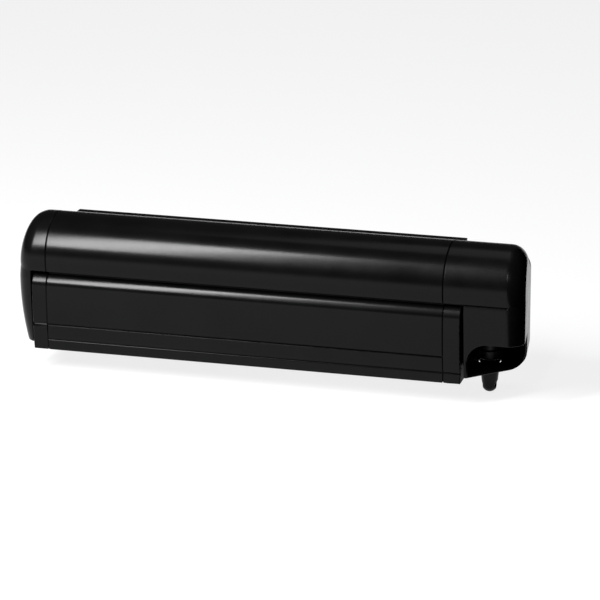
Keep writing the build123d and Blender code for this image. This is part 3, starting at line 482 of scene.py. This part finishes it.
def wound_canopy():
    """The wound canopy: one long sheet round the roller, turn on turn."""
    shape = bmesh.new()
    bmesh.ops.create_grid(shape, x_segments=4, y_segments=layer_steps * cloth_layers, size=1.0)
    for vert in shape.verts:
        across, along = vert.co.x, (vert.co.y + 1) / 2
        radius = tube_radius + (wound_radius - tube_radius) * along
        vert.co = off_roll(radius, leave_angle() + math.tau * cloth_layers * (along - 1))
        vert.co.x = across * cloth_reach
    piece = cloth_piece("wound_canopy", shape, "roller", "canopy_roll")


ease_rigid_pieces()
for side in ("left", "right"):
    arm_spring(side)
wound_canopy()
canopy_sheet()


# The camera: angles in degrees, lens and sensor in mm, places in metres
camera_turn, camera_rise = 16.0, 16.3
camera_distance = 3.394
camera_aim = Vector((0.0565, -0.103, 0.0096))
lens, sensor = 221.3, 36.0

# Lamps: middle, the point that each faces, size and watts
lamps = {
    "key": ((-0.55, -1.04, 0.96), (-0.1, -0.08, 0.04), (0.26, 0.84), 36.0),
    "end_strip": ((0.29, -1.2, 0.95), (0.24, -0.09, 0.03), (0.07, 0.4), 2.4),
    "overhead": ((0.2, 0.5, 2.2), (0.0, -0.05, 0.0), (1.6, 1.2), 5.0),
}


def camera():
    """A long lens from the front right and a little above."""
    turn, rise = math.radians(camera_turn), math.radians(camera_rise)
    back = Vector((math.sin(turn) * math.cos(rise), -math.cos(turn) * math.cos(rise), math.sin(rise)))
    eye = bpy.data.objects.new("camera", bpy.data.cameras.new("camera"))
    bpy.context.scene.collection.objects.link(eye)
    eye.data.sensor_width = sensor
    eye.data.lens = lens
    eye.location = camera_aim + back * camera_distance
    eye.rotation_mode = "QUATERNION"
    eye.rotation_quaternion = (-back).to_track_quat("-Z", "Y")
    bpy.context.scene.camera = eye


def softbox(name, middle, aim, size, power):
    """A soft lamp that faces a point."""
    lamp = bpy.data.lights.new(name, "AREA")
    lamp.shape = "RECTANGLE"
    lamp.size, lamp.size_y = size
    lamp.energy = power
    box = bpy.data.objects.new(name, lamp)
    box.location = middle
    box.rotation_mode = "QUATERNION"
    box.rotation_quaternion = (Vector(aim) - Vector(middle)).to_track_quat("-Z", "Y")
    box.visible_camera = False
    bpy.context.scene.collection.objects.link(box)


def card(name, material, spread, half, middle):
    """A square of studio board round a middle, spread to half its width along two directions."""
    shape = bmesh.new()
    bmesh.ops.create_grid(shape, x_segments=1, y_segments=1, size=half)
    for vert in shape.verts:
        vert.co = Vector(middle) + vert.co.x * Vector(spread[0]) + vert.co.y * Vector(spread[1])
    mesh = bpy.data.meshes.new(name)
    shape.to_mesh(mesh)
    shape.free()
    mesh.materials.append(material)
    board = bpy.data.objects.new(name, mesh)
    bpy.context.scene.collection.objects.link(board)
    return board


def painted_dark_reflection():
    """Painted dark reflection: a black card beside the winch end that only gloss sees, which keeps that
    end dark.
    """
    dark_reflection_finish = bpy.data.materials.new("painted_dark_reflection_card")
    dark_reflection_finish.use_nodes = True
    dark_reflection_finish.node_tree.nodes.clear()
    dark_reflection_shader = add(dark_reflection_finish.node_tree, "ShaderNodeBsdfDiffuse", {"Color": linear("#020202")})
    add(dark_reflection_finish.node_tree, "ShaderNodeOutputMaterial", {"Surface": dark_reflection_shader.outputs["BSDF"]})
    middle = (cad_box[1].x + flag_gap, 0.0, cad_box[0].z + flag_half)
    flag = card("flag", dark_reflection_finish, ((0.0, 1.0, 0.0), (0.0, 0.0, 1.0)), flag_half, middle)
    flag.visible_camera = flag.visible_diffuse = flag.visible_shadow = flag.visible_transmission = False


def studio():
    """Pale floor under the lowest point, dim even surround, softboxes, and a black flag that paints a dark
    reflection on the winch end.
    """
    scene = bpy.context.scene
    scene.view_settings.view_transform = "Standard"
    world = bpy.data.worlds.new("studio")
    world.use_nodes = True
    surround = world.node_tree.nodes["Background"].inputs
    surround["Color"].default_value = linear("#ffffff")
    surround["Strength"].default_value = world_level
    scene.world = world
    middle = (0.0, 0.0, cad_box[0].z - floor_gap)
    card("floor", studio_floor(), ((1.0, 0.0, 0.0), (0.0, 1.0, 0.0)), floor_half, middle)
    painted_dark_reflection()
    for name, lamp in lamps.items():
        softbox(name, *lamp)


camera()
studio()
